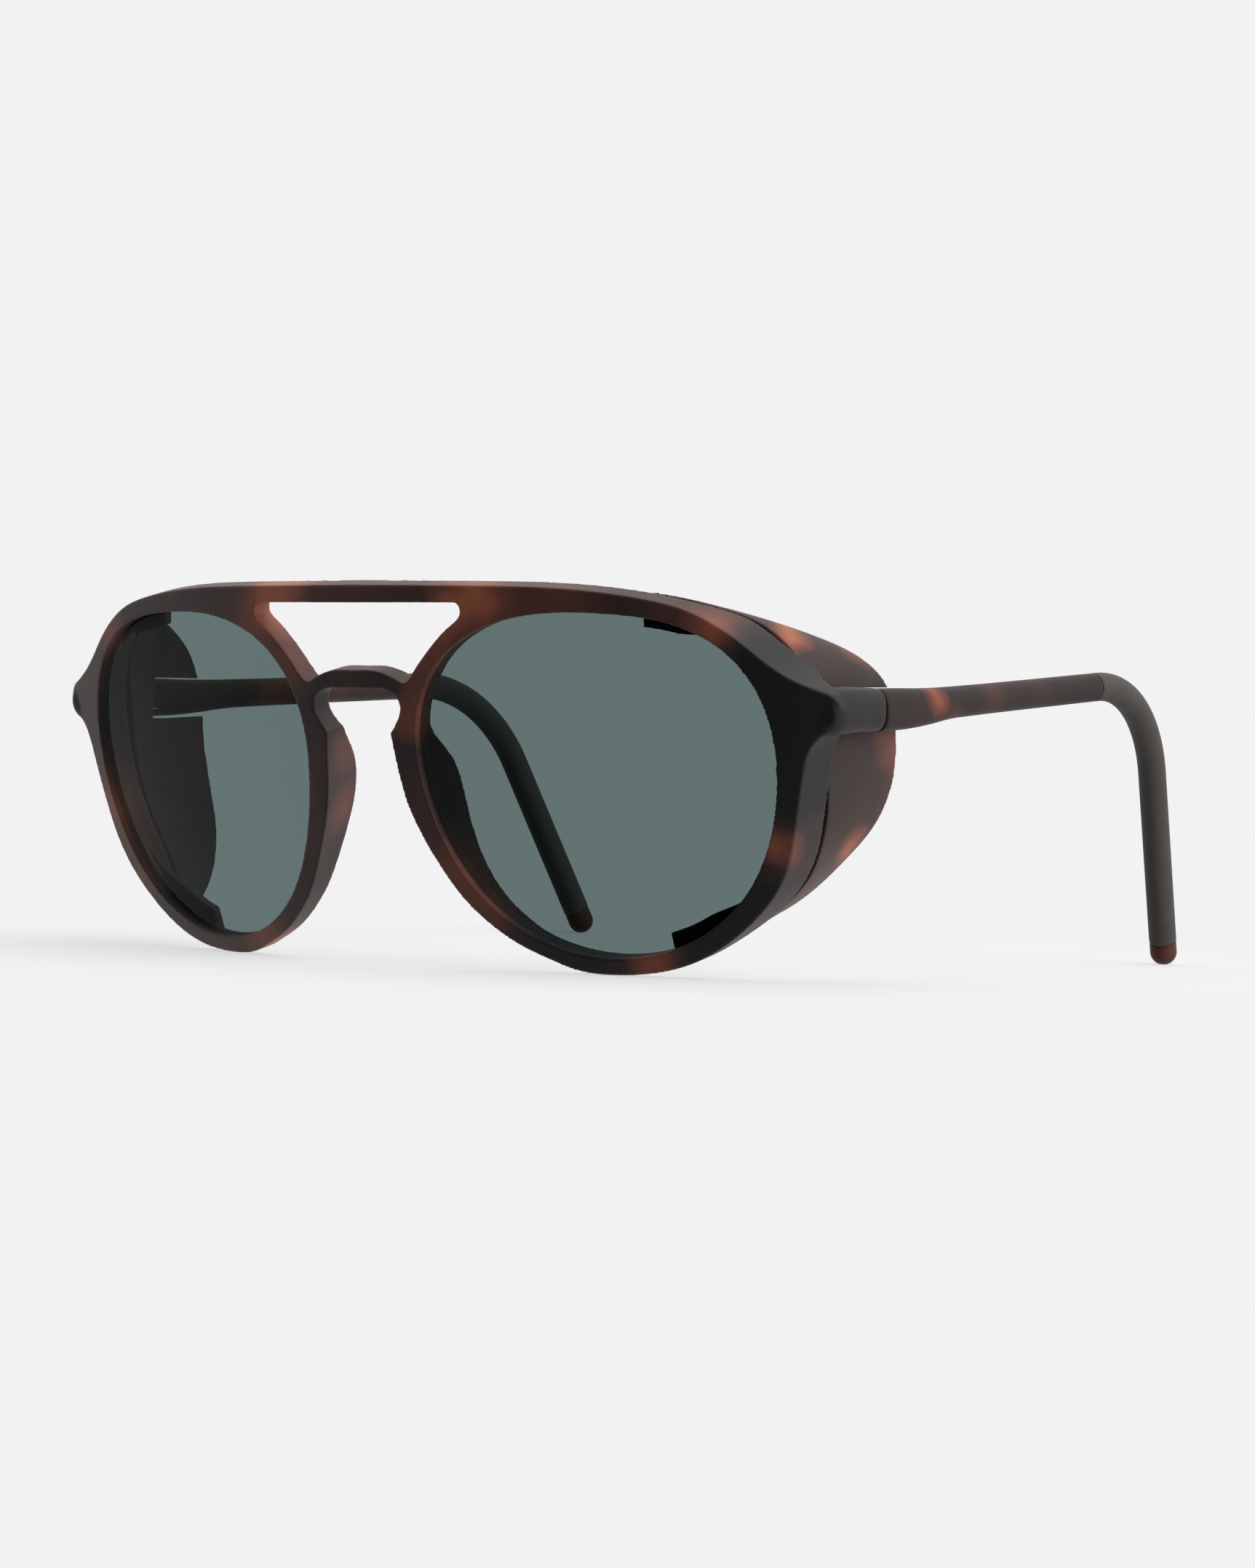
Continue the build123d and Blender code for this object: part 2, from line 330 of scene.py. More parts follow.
# ---------------------------------------------------------------- the front
right_side = np.vstack([spline(BROW, 0.5)[:-1], spline(CHEEK, 0.5)[:-1], spline(KEYHOLE, 0.35)])
left_side = right_side[1:-1][::-1] * [-1, 1]
OUTLINE = np.vstack([right_side, left_side])
slot_right = np.vstack([
    spline(SLOT_LOW, 0.35)[:-1],
    spline(SLOT_SIDE, 0.35)[:-1],
    spline(SLOT_END, 0.25)[:-1],
    spline(SLOT_TOP, 0.5),
])
SLOT_LOOP = np.vstack([slot_right, slot_right[1:-1][::-1] * [-1, 1]])
OPEN_LEFT = spline(OPENING, 0.5, closed=True)
OPEN_RIGHT = OPEN_LEFT * [-1, 1]

NOSE_DEPTH = [
    (-30, 3.4), (-22, 3.6), (-18, 4.1), (-14, 5.0), (-10, 6.1), (-6, 7.2), (-3, 7.9), (-0.5, 8.1), (1.5, 7.8),
    (3.2, 6.9), (4.8, 5.6), (6.2, 4.4), (7.4, 3.6), (9, 3.4), (40, 3.4),
]


def front_thickness(across, up):
    """Depth of the front: thin over the brow, deeper at the temples and in the nose wings."""
    a = np.abs(across)
    depth = np.full(len(a), 3.3)
    depth += 2.7 * smoothstep(a, 48.0, 55.5)
    nose_up, nose_depth = np.array(NOSE_DEPTH).T
    nose = np.interp(up, nose_up, nose_depth) - 3.4
    depth += nose * (1 - smoothstep(a, 20.0, 24.0))
    depth -= 2.8 * smoothstep(a, 61.5, 65.5) * smoothstep(up, 6.5, 9.5)
    depth -= np.minimum(depth - 1.6, 4.4 * smoothstep(a, 65.4, 67.4))
    return depth


def front_shape(flat, t, loop=None):
    across, up = flat[:, 0].copy(), flat[:, 1]
    depth = front_thickness(across, up)
    to_edge = distance(flat, OUTLINE)
    to_lens = np.minimum(distance(flat, OPEN_LEFT), distance(flat, OPEN_RIGHT))
    share = to_lens / (to_lens + to_edge + 1e-6)
    nose = (depth - 3.4) * (1 - smoothstep(np.abs(across), 20.0, 24.0)) * (up < 9)
    back = face_depth(across, up, depth * t)
    across += np.sign(across) * np.clip(nose, 0, 9) * 0.36 * share * t
    return from_face(across, up, back)


plate = slab("plate", OUTLINE, [SLOT_LOOP, OPEN_LEFT, OPEN_RIGHT], 1.6, front_shape, 6)


def section(width, height, power, count):
    """A rounded rectangle as a superellipse, in (across, up)."""
    angle = np.linspace(0, 2 * math.pi, count, endpoint=False)
    c, s = np.cos(angle), np.sin(angle)
    x = width / 2 * np.sign(c) * np.abs(c) ** (2 / power)
    y = height / 2 * np.sign(s) * np.abs(s) ** (2 / power)
    return np.stack([x, y], axis=1)


def skin(rings):
    """A closed skin over equal rings of points, one after another."""
    count = len(rings[0])
    faces = []
    for r in range(len(rings) - 1):
        for i in range(count):
            j = (i + 1) % count
            faces.append((r * count + i, r * count + j, (r + 1) * count + j, (r + 1) * count + i))
    faces.append(tuple(range(count))[::-1])
    last = (len(rings) - 1) * count
    faces.append(tuple(last + i for i in range(count)))
    return np.vstack(rings), faces


STUB_SIDES = 56


def stub_rings():
    """The hinge stub, grown out of the tip of the end piece and fuller below where it meets the rim."""
    # distance back, inner and outer side, bottom, top, squareness
    stations = [
        (13.0, 64.4, 67.5, 9.0, 12.6, 2.0), (13.5, 64.2, 68.1, 8.4, 13.1, 2.0),
        (14.2, 64.0, 68.4, 8.0, 13.6, 2.05), (15.2, 63.9, 68.52, 7.9, 14.0, 2.15),
        (16.5, 63.9, 68.54, 8.0, 14.2, 2.3),
        (18.0, 63.95, 68.5, 8.15, 14.24, 2.5), (19.5, 64.0, 68.45, 8.32, 14.24, 2.6),
        (21.5, 64.0, 68.4, 8.45, 14.22, 2.7), (23.65, 64.0, 68.4, 8.48, 14.2, 2.7),
        (23.9, 64.05, 68.35, 8.55, 14.1, 2.7), (24.0, 64.2, 68.2, 8.7, 13.9, 2.7),
    ]
    rings = []
    for y, inner, outer, bottom, top, power in stations:
        flat = section(outer - inner, top - bottom, power, STUB_SIDES)
        middle = ((inner + outer) / 2, (top + bottom) / 2)
        back = np.full(STUB_SIDES, y)
        rings.append(np.stack([middle[0] + flat[:, 0], back, middle[1] + flat[:, 1]], axis=1))
    return rings


verts, faces = skin(stub_rings())
stub_left = make_object("stub_left", verts, faces)
stub_right = mirrored(stub_left, "stub_right")
front = join([plate, stub_left, stub_right], "front_piece")


def tip_of_end_piece(points):
    """Where the end piece turns into the hinge stub, and its edges are rounder."""
    x = np.abs(points[:, 0])
    return smoothstep(x, 63.0, 66.5) * (1 - smoothstep(points[:, 1], 17.5, 21.0))


fuse(front, FRONT_VOXEL, 4, tip_of_end_piece)

# ---------------------------------------------------------------- lenses


def grown(loop, margin):
    """A loop pushed outward by a margin."""
    ahead = np.roll(loop, -1, axis=0)
    behind = np.roll(loop, 1, axis=0)
    run = ahead - behind
    normal = np.stack([run[:, 1], -run[:, 0]], axis=1)
    normal /= np.linalg.norm(normal, axis=1)[:, None]
    return loop + normal * margin


def lens_shape(flat, t, loop=None):
    across, up = flat[:, 0], flat[:, 1]
    return from_face(across, up, face_depth(across, up, LENS_DEPTH + LENS_T * t))


lens_left = slab("lens_piece_left", grown(OPEN_LEFT, 0.5), [], 2.2, lens_shape, 3)
lens_left.data.set_sharp_from_angle(angle=math.radians(40))
lens_right = mirrored(lens_left, "lens_piece_right")

# ---------------------------------------------------------------- side shields
SHELL_T = 1.3
SHIELD = [
    ((43.5, 24.0, 3.4), (46.0, 8.5, 24.1)),
    ((47.5, 22.9, 3.6), (50.0, 12.2, 23.7)),
    ((51.5, 21.1, 4.8), (54.0, 18.0, 22.4)),
    ((55.5, 18.3, 6.6), (57.9, 25.1, 20.3)),
    ((58.6, 15.3, 6.6), (60.5, 29.9, 17.9)),
    ((60.4, 12.0, 6.6), (62.0, 32.9, 14.8)),
    ((60.9, 8.0, 6.6), (62.4, 34.4, 10.5)),
    ((61.5, 3.5, 6.6), (62.4, 34.9, 5.5)),
    ((61.9, -1.5, 6.6), (61.6, 35.0, 1.0)),
    ((61.6, -6.0, 6.6), (60.0, 34.4, -3.2)),
    ((60.0, -11.5, 6.6), (57.0, 32.3, -8.0)),
    ((57.0, -16.6, 6.6), (53.2, 28.0, -13.4)),
    ((52.5, -20.9, 4.8), (49.6, 22.6, -17.0)),
    ((47.5, -24.0, 3.6), (46.0, 17.0, -19.8)),
    ((42.5, -25.8, 3.4), (43.0, 13.6, -21.8)),
]


def shield_shell():
    """The curved shell between the back of the rim and its free rear edge."""
    fronts = []
    rears = []
    for (across, up, depth), rear in SHIELD:
        a, u = np.array([across], float), np.array([up], float)
        fronts.append(from_face(a, u, face_depth(a, u, depth))[0])
        rears.append(rear)
    pairs = np.hstack([np.array(fronts), np.array(rears, float)])
    dense = spline(pairs, 0.7)
    start, end = dense[:, :3], dense[:, 3:]
    middle = (start + end) / 2
    outward = np.stack([middle[:, 0] - 34.0, 0 * middle[:, 0], middle[:, 2] - 2.0], axis=1)
    outward /= np.linalg.norm(outward, axis=1)[:, None]
    length = np.linalg.norm(end - start, axis=1)[:, None]
    columns = 26
    rings = []
    for k in range(len(dense)):
        outer = []
        inner = []
        for c in range(columns + 1):
            t = c / columns
            bulge = 0.12 * t * (1 - t) * length[k]
            point = start[k] * (1 - t) + end[k] * t + outward[k] * bulge
            outer.append(point)
            thick = SHELL_T * (1 - 0.35 * smoothstep(t, 0.6, 1.0))
            inner.append(point - outward[k] * thick)
        rings.append(np.array(outer + inner[::-1]))
    return skin(rings)


def tab_shape(flat, t, loop=None):
    across, up = flat[:, 0], flat[:, 1]
    return from_face(across, up, face_depth(across, up, TAB_DEPTH + TAB_T * t))


def shield_tab(low_up, first, last):
    """A mounting tab that lies behind the rim and reaches a little into the lens opening."""
    outer = grown(OPEN_LEFT, 2.0)
    reach = TAB_REACH - 1.9 * smoothstep(OPEN_LEFT[:, 0], last - 8.0, last - 0.5)
    inner = grown(OPEN_LEFT, -reach[:, None])
    keep = (outer[:, 0] > first) & (outer[:, 0] < last)
    keep &= (outer[:, 1] < 0) if low_up else (outer[:, 1] > 0)
    keep_in = (inner[:, 0] > first) & (inner[:, 0] < last)
    keep_in &= (inner[:, 1] < 0) if low_up else (inner[:, 1] > 0)
    a = outer[keep]
    b = inner[keep_in]
    a = a[np.argsort(a[:, 0])]
    b = b[np.argsort(b[:, 0])]
    return np.vstack([a, b[::-1]])


verts, faces = shield_shell()
shell = make_object("shell", verts, faces)
tab_up = slab("tab_up", shield_tab(False, 41.9, 55.0), [], 1.5, tab_shape, 3)
tab_low = slab("tab_low", shield_tab(True, 40.6, 55.0), [], 1.5, tab_shape, 3)
shield_left = join([shell, tab_up, tab_low], "shield_piece_left")
fuse(shield_left, SHIELD_VOXEL, 2)

# outlines of the notches, as distance back and height
NOTCH_LEFT = [
    (23.2, 8.36), (24.4, 8.5), (29.5, 8.68), (33.0, 8.9), (38.6, 9.3),
    (38.6, 14.56), (29.0, 14.32), (23.2, 14.26),
]
NOTCH_RIGHT = [
    (23.2, 8.36), (27.7, 8.4), (29.5, 8.5), (38.6, 9.0), (38.6, 14.38), (29.0, 14.3), (23.2, 14.26),
]


def cut_notch(shield, side, profile):
    """The way through the shield for the folding arm, hidden behind it while it is open."""
    rings = [np.array([(side * x, y, z) for y, z in profile]) for x in (54.0, 68.0)]
    cutter = make_object("notch", *skin(rings))
    cut = shield.modifiers.new("notch", "BOOLEAN")
    cut.object = cutter
    cut.operation = "DIFFERENCE"
    cut.solver = "EXACT"
    apply_modifiers(shield)
    bpy.data.objects.remove(cutter)


shield_right = mirrored(shield_left, "shield_piece_right")
cut_notch(shield_left, 1, NOTCH_LEFT)
cut_notch(shield_right, -1, NOTCH_RIGHT)

# ---------------------------------------------------------------- temples
NECK_R = 1.98
BEND_R = 20.9


class TempleLine:
    """The centre line of one temple: its straight, its bend and its drop."""

    def __init__(self, bend_height):
        self.start = np.array([ARM_X, 24.2, HINGE_Z])
        bend = np.array([61.4, 98.0, bend_height])
        tip = np.array([54.4, 115.7, -22.47])
        self.along = (bend - self.start) / np.linalg.norm(bend - self.start)
        self.down = (tip - bend) / np.linalg.norm(tip - bend)
        turn = math.acos(float(self.along @ self.down))
        reach = BEND_R * math.tan(turn / 2)
        self.arc_start = bend - self.along * reach
        self.arc_end = bend + self.down * reach
        side = self.down - self.along * float(self.along @ self.down)
        self.side = side / np.linalg.norm(side)
        self.centre = self.arc_start + self.side * BEND_R
        self.straight = np.linalg.norm(self.arc_start - self.start)
        self.arc = BEND_R * turn
        self.length = self.straight + self.arc + np.linalg.norm(tip - self.arc_end) + NECK_R
        self.seam = (82.0 - 24.2) / self.along[1]
        self.cap = self.length - 3.7

    def at(self, s):
        """The point and the direction s millimetres from the hinge end."""
        if s < self.straight:
            return self.start + self.along * s, self.along
        if s < self.straight + self.arc:
            angle = (s - self.straight) / BEND_R
            point = self.centre + (self.along * math.sin(angle) - self.side * math.cos(angle)) * BEND_R
            return point, self.along * math.cos(angle) + self.side * math.sin(angle)
        return self.arc_end + self.down * (s - self.straight - self.arc), self.down


def tube(name, line, stations, power=2.0, count=48):
    """A solid along a temple from (distance, width, height, lift) stations."""
    across = np.array([1.0, 0, 0])
    rings = []
    for s, width, height, lift in stations:
        point, along = line.at(s)
        x = across - along * float(across @ along)
        x /= np.linalg.norm(x)
        y = np.cross(x, along)
        shape = power(s) if callable(power) else power
        flat = section(width, height, shape, count)
        flat[:, 1] += lift
        rings.append(point + flat[:, :1] * x + flat[:, 1:] * y)
    verts, faces = skin(rings)
    return make_object(name, verts, faces)


# distance from the hinge, width, height, lift of the middle
ARM = np.array([
    (0.0, 4.4, 5.65, 0.03), (4.0, 4.4, 5.55, -0.08), (7.0, 4.4, 5.4, -0.16), (10.0, 4.38, 5.12, -0.2),
    (13.5, 4.3, 4.8, -0.16), (17.0, 4.22, 4.42, -0.06), (20.0, 4.16, 4.24, 0), (28.0, 4.08, 4.1, 0),
    (40.0, 4.0, 4.02, 0), (60.0, 3.96, 3.96, 0),
])


def round_stations(start, end, diameter, step=0.7):
    """Stations of a round length with a small rounded edge at each end."""
    rows = [(start, 0.9), (start + 0.05, 0.96), (start + 0.2, 0.995), (start + 0.4, 1.0)]
    rows += [(s, 1.0) for s in np.arange(start + 1.0, end - 0.6, step)]
    rows += [(end - 0.4, 1.0), (end - 0.2, 0.995), (end - 0.05, 0.96), (end, 0.9)]
    return [(s, diameter * k, diameter * k, 0.0) for s, k in rows]


def temple_pieces(side, line):
    """The arm, the sleeve over the bend, the end cap and the wire inside them."""
    rows = []
    for s in [0.02, 0.07, 0.18, 0.35] + list(np.arange(0.8, line.seam - 0.5, 0.6)) + [line.seam - 0.3]:
        width, height, lift = (np.interp(s, ARM[:, 0], ARM[:, k]) for k in (1, 2, 3))
        edge = 0.5 * (1 - math.sqrt(1 - (1 - min(s / 0.4, 1)) ** 2))
        rows.append((s, width - edge, height - edge, lift))
    rows += [(line.seam - gap, width, width, 0) for gap, width in ((0.16, 3.86), (0.06, 3.6), (0.02, 3.2))]
    arm = tube("arm_piece_" + side, line, rows, power=lambda s: 2.7 - 0.7 * float(smoothstep(s, 6, 24)))
    rows = round_stations(line.seam + 0.2, line.cap - 0.03, SLEEVE_D)
    sleeve = tube("sleeve_piece_" + side, line, rows)
    rows = [(line.cap + 0.02, 3.5, 3.5, 0), (line.cap + 0.08, 3.8, 3.8, 0), (line.cap + 0.3, 3.88, 3.88, 0)]
    for angle in np.linspace(0, 86, 15):
        a = math.radians(angle)
        rows.append((line.length - NECK_R + 1.94 * math.sin(a), 3.9 * math.cos(a), 3.9 * math.cos(a), 0))
    cap = tube("cap_piece_" + side, line, rows)
    wire = tube("wire_piece_" + side, line, round_stations(11.0, line.cap + 1.6, WIRE_D, 1.0), count=20)
    return arm, sleeve, cap, wire


# the right temple is set a little lower at the bend than the left one
arm_left, sleeve_left, cap_left, wire_left = temple_pieces("left", TempleLine(16.6))
right = temple_pieces("right", TempleLine(15.0))
for obj in right:
    obj.data.transform(Matrix.Scale(-1, 4, Vector((1, 0, 0))))
    obj.data.flip_normals()
arm_right, sleeve_right, cap_right, wire_right = right

# ---------------------------------------------------------------- materials


class Nodes:
    """A small helper that builds a node tree in reading order."""

    def __init__(self, name):
        self.material = bpy.data.materials.new(name)
        self.material.use_nodes = True
        self.tree = self.material.node_tree
        self.shader = self.tree.nodes["Principled BSDF"]

    def add(self, kind, values=(), **props):
        node = self.tree.nodes.new(kind)
        for key, value in props.items():
            setattr(node, key, value)
        for key, value in dict(values).items():
            node.inputs[key].default_value = value
        return node

    def link(self, a, b):
        self.tree.links.new(a, b)

    def ramp(self, source, stops):
        node = self.add("ShaderNodeValToRGB")
        ramp = node.color_ramp
        while len(ramp.elements) < len(stops):
            ramp.elements.new(0.5)
        for element, (position, colour) in zip(ramp.elements, stops):
            element.position = position
            element.color = (*colour, 1)
        self.link(source, node.inputs[0])
        return node.outputs[0]

    def math(self, operation, a, b=0.0, clamp=False):
        node = self.add("ShaderNodeMath", operation=operation, use_clamp=clamp)
        for index, value in enumerate((a, b)):
            if isinstance(value, (int, float)):
                node.inputs[index].default_value = value
            else:
                self.link(value, node.inputs[index])
        return node.outputs[0]

    def noise(self, vector, scale, detail=3.0, rough=0.5, distort=0.0):
        values = {"Scale": scale, "Detail": detail, "Roughness": rough, "Distortion": distort}
        node = self.add("ShaderNodeTexNoise", values)
        self.link(vector, node.inputs["Vector"])
        return node.outputs["Fac"]

    def spot(self, vector, centre, radius):
        """1 at a place on the object, falling to 0 at a radius, in metres."""
        node = self.add("ShaderNodeVectorMath", operation="DISTANCE")
        self.link(vector, node.inputs[0])
        node.inputs[1].default_value = tuple(to_row(centre))
        falloff = self.math("DIVIDE", node.outputs["Value"], radius * MM)
        return self.math("SUBTRACT", 1.0, falloff, clamp=True)


BLACK = (0.0045, 0.0045, 0.0045)
DUSK = (0.024, 0.0135, 0.0125)
BROWN = (0.15, 0.043, 0.027)
# orange top tone: amber in the tortoise pattern, and on the side shields also painted light shining through
# the plastic
AMBER_AND_GLOW = (0.34, 0.10, 0.045)


def on_face(across, up, back=2.0):
    """A place on the front, in design millimetres."""
    a, u = np.array([across], float), np.array([up], float)
    return tuple(from_face(a, u, face_depth(a, u, back))[0])


# patches of colour: middle, radius in millimetres, strength
FRONT_BROWN = [
    (on_face(-13.1, 25.1), 7.0, 0.7), (on_face(18.0, 24.4), 6.5, 0.7), (on_face(16.0, 21.0), 5.5, 0.3),
    (on_face(12.4, 16.2), 6.0, 0.45), (on_face(9.8, 9.5), 5.0, 0.55), (on_face(-17.5, 21.8), 6.0, 0.4),
    (on_face(-12.0, 15.2), 5.5, 0.3), (on_face(22.5, 23.8), 5.5, 0.35), (on_face(-25.4, -23.6), 7.5, 0.6),
    (on_face(-53.8, 18.1), 6.0, 0.5), (on_face(-58.7, -8.5), 8.0, 0.45), (on_face(-54.0, -18.0), 6.0, 0.3),
    (on_face(14.5, -12.0), 6.5, 0.32), (on_face(18.5, -17.5), 6.0, 0.25),
    (on_face(35.4, 24.2), 6.0, 0.06), (on_face(53.6, 18.3, 0.5), 5.5, 0.4),
    (on_face(57.8, -9.6, 0.0), 5.8, 0.42), (on_face(39.2, -25.0), 7.0, 0.5),
    (on_face(-8.5, 4.5, 5.0), 5.0, 0.4), (on_face(-9.0, -4.5, 5.0), 5.0, 0.3),
    (on_face(-11.5, -1.0, 1.0), 4.0, 0.2), (on_face(-18.0, 25.0), 4.0, 0.2),
]
FRONT_BLACK = [
    (on_face(64.6, 8.8), 15.0, 0.8), (on_face(61.0, 1.0), 10.0, 0.8), (on_face(52.8, -19.2), 11.0, 0.9),
    (on_face(46.0, -24.0), 6.0, 0.4), (on_face(27.0, -24.0), 12.0, 0.5), (on_face(56.0, 14.5), 6.0, 0.3),
]
# side shield patches: partly brown and amber in the pattern, partly painted light shining through the thin
# plastic
SHIELD_BROWN_AND_GLOW = [
    ((57.0, 17.5, 20.8), 3.8, 0.9), ((59.0, 29.0, 19.0), 4.2, 0.55), ((61.0, 34.0, 6.6), 4.6, 0.5),
    ((59.0, 30.5, -7.4), 4.2, 0.75), ((53.0, 18.0, 23.0), 4.0, 0.15), ((60.5, 31.0, 9.0), 3.0, 0.2),
]
ARM_BROWN = [
    ((66.8, 36.8, 13.6), 3.6, 0.6), ((66.0, 42.0, 10.6), 4.0, 0.15), ((-66.0, 52.0, 13.0), 7.0, 0.5),
    ((54.4, 115.0, -21.0), 5.0, 0.3), ((-54.4, 115.0, -21.0), 5.0, 0.3), ((64.5, 50.0, 13.0), 6.0, 0.12),
]


def satin_bump(n, vector, strength):
    """The fine satin grain of moulded plastic."""
    grain = n.noise(vector, 5200, 2, 0.6)
    bump = n.add("ShaderNodeBump", {"Strength": strength, "Distance": 0.00002})
    n.link(grain, bump.inputs["Height"])
    n.link(bump.outputs[0], n.shader.inputs["Normal"])


def tortoise(name, brown_and_glow_spots, dark_spots, scale=70, base=0.3, swing=0.9, rough=0.5, spec=0.36, sheen=0.12):
    """Satin tortoise plastic: soft brown and black clouds, with placed patches, mixed through the body; on
    the side shields the orange patches are also painted light shining through the plastic.
    """
    n = Nodes(name)
    where = n.add("ShaderNodeTexCoord").outputs["Object"]
    cloud = n.noise(where, scale, 1.5, 0.45, 0.4)
    mask = n.math("ADD", n.math("MULTIPLY", n.math("SUBTRACT", cloud, 0.5), swing), base)
    wobble = n.add("ShaderNodeTexNoise", {"Scale": 160.0, "Detail": 2.0})
    n.link(where, wobble.inputs["Vector"])
    push = n.add("ShaderNodeVectorMath", operation="MULTIPLY_ADD")
    n.link(wobble.outputs["Color"], push.inputs[0])
    push.inputs[1].default_value = (0.004, 0.004, 0.004)
    n.link(where, push.inputs[2])
    warped = n.add("ShaderNodeVectorMath", operation="SUBTRACT")
    n.link(push.outputs[0], warped.inputs[0])
    warped.inputs[1].default_value = (0.002, 0.002, 0.002)
    place = warped.outputs[0]
    # placed brown patches; on the side shields they also carry painted light shining through the plastic
    for centre, radius, weight in brown_and_glow_spots:
        mask = n.math("ADD", mask, n.math("MULTIPLY", n.spot(place, centre, radius), weight))
    for centre, radius, weight in dark_spots:
        mask = n.math("SUBTRACT", mask, n.math("MULTIPLY", n.spot(place, centre, radius), weight))
    colour = n.ramp(mask, [(0.0, BLACK), (0.3, DUSK), (0.62, BROWN), (0.95, AMBER_AND_GLOW)])
    fine = n.noise(where, 900, 3.0, 0.6)
    shade = n.math("ADD", n.math("MULTIPLY", fine, 0.25), 0.88)
    tinted = n.add("ShaderNodeMix", data_type="RGBA", blend_type="MULTIPLY")
    tinted.inputs[0].default_value = 1.0
    n.link(colour, tinted.inputs[6])
    n.link(shade, tinted.inputs[7])
    n.link(tinted.outputs[2], n.shader.inputs["Base Color"])
    rough_node = n.math("ADD", n.math("MULTIPLY", n.noise(where, 1500, 2), 0.1), rough - 0.05)
    n.link(rough_node, n.shader.inputs["Roughness"])
    n.shader.inputs["Specular IOR Level"].default_value = spec
    n.shader.inputs["Sheen Weight"].default_value = sheen
    n.shader.inputs["Sheen Roughness"].default_value = 0.4
    n.shader.inputs["Sheen Tint"].default_value = (1.0, 0.7, 0.6, 1)
    satin_bump(n, where, 0.25)
    return n.material


front_mat = tortoise("front_tortoise", FRONT_BROWN, FRONT_BLACK, base=0.34, swing=0.35)
shield_mat = tortoise("shield_tortoise_and_glow", SHIELD_BROWN_AND_GLOW, [], base=0.33, swing=0.3)
arm_mat = tortoise("arm_tortoise", ARM_BROWN, [], base=0.28, swing=0.3, spec=0.2, sheen=0.015)


def sleeve_rubber():
    """Fine matt dark rubber."""
    n = Nodes("sleeve_rubber")
    where = n.add("ShaderNodeTexCoord").outputs["Object"]
    tones = [(0.3, (0.050, 0.044, 0.039)), (0.7, (0.062, 0.054, 0.048))]
    n.link(n.ramp(n.noise(where, 350, 4, 0.6), tones), n.shader.inputs["Base Color"])
    rough = n.math("ADD", n.math("MULTIPLY", n.noise(where, 2500, 2), 0.12), 0.58)
    n.link(rough, n.shader.inputs["Roughness"])
    n.shader.inputs["Specular IOR Level"].default_value = 0.4
    satin_bump(n, where, 0.35)
    return n.material


def lens_tint():
    """Smooth grey-green lens, a trace uneven in depth of colour."""
    n = Nodes("lens_tint")
    where = n.add("ShaderNodeTexCoord").outputs["Object"]
    tones = [(0.0, (0.138, 0.19, 0.187)), (1.0, (0.142, 0.195, 0.192))]
    n.link(n.ramp(n.noise(where, 30, 2), tones), n.shader.inputs["Base Color"])
    n.shader.inputs["Transmission Weight"].default_value = 1.0
    n.shader.inputs["Roughness"].default_value = 0.0
    n.shader.inputs["IOR"].default_value = 1.1
    return n.material


def hinge_steel():
    """Plain turned steel."""
    n = Nodes("hinge_steel")
    where = n.add("ShaderNodeTexCoord").outputs["Object"]
    tones = [(0.3, (0.42, 0.42, 0.43)), (0.7, (0.56, 0.56, 0.57))]
    n.link(n.ramp(n.noise(where, 1800, 3), tones), n.shader.inputs["Base Color"])
    rough = n.math("ADD", n.math("MULTIPLY", n.noise(where, 3500, 2), 0.2), 0.25)
    n.link(rough, n.shader.inputs["Roughness"])
    n.shader.inputs["Metallic"].default_value = 1.0
    satin_bump(n, where, 0.2)
    return n.material


rubber_mat = sleeve_rubber()
lens_mat = lens_tint()
steel_mat = hinge_steel()


def dress(obj, material):
    obj.data.materials.clear()
    obj.data.materials.append(material)


PIECES = [
    (front, front_mat, "front", "front_frame", "front_frame"),
    (lens_left, lens_mat, "front", "lens_left", "lens"),
    (lens_right, lens_mat, "front", "lens_right", "lens"),
    (shield_left, shield_mat, "front", "side_shield_left", "side_shield"),
    (shield_right, shield_mat, "front", "side_shield_right", "side_shield"),
    (arm_left, arm_mat, "temple_left", "temple_arm_left", "temple_arm"),
    (arm_right, arm_mat, "temple_right", "temple_arm_right", "temple_arm"),
    (sleeve_left, rubber_mat, "temple_left", "temple_sleeve_left", "temple_sleeve"),
    (sleeve_right, rubber_mat, "temple_right", "temple_sleeve_right", "temple_sleeve"),
    (wire_left, steel_mat, "temple_left", "temple_wire_left", "hinge_metal"),
    (wire_right, steel_mat, "temple_right", "temple_wire_right", "hinge_metal"),
    (cap_left, arm_mat, "temple_left", "temple_end_cap_left", "temple_end_cap"),
    (cap_right, arm_mat, "temple_right", "temple_end_cap_right", "temple_end_cap"),
]
for obj, material, body, node, slot in PIECES:
    dress(obj, material)
    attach(obj, body)
    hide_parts(node)
for name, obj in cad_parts.items():
    if name.startswith("hinge_"):
        dress(obj, steel_mat)

# ---------------------------------------------------------------- floor, light, camera
BACKGROUND = 0.888

bm = bmesh.new()
bmesh.ops.create_circle(bm, cap_ends=True, segments=96, radius=6.0)
mesh = bpy.data.meshes.new("floor")
bm.to_mesh(mesh)
bm.free()
floor = bpy.data.objects.new("floor", mesh)
bpy.context.scene.collection.objects.link(floor)
floor.visible_glossy = False
floor.visible_diffuse = False
n = Nodes("floor_paper")
where = n.add("ShaderNodeTexCoord").outputs["Object"]
length = n.add("ShaderNodeVectorMath", operation="LENGTH")
n.link(where, length.inputs[0])
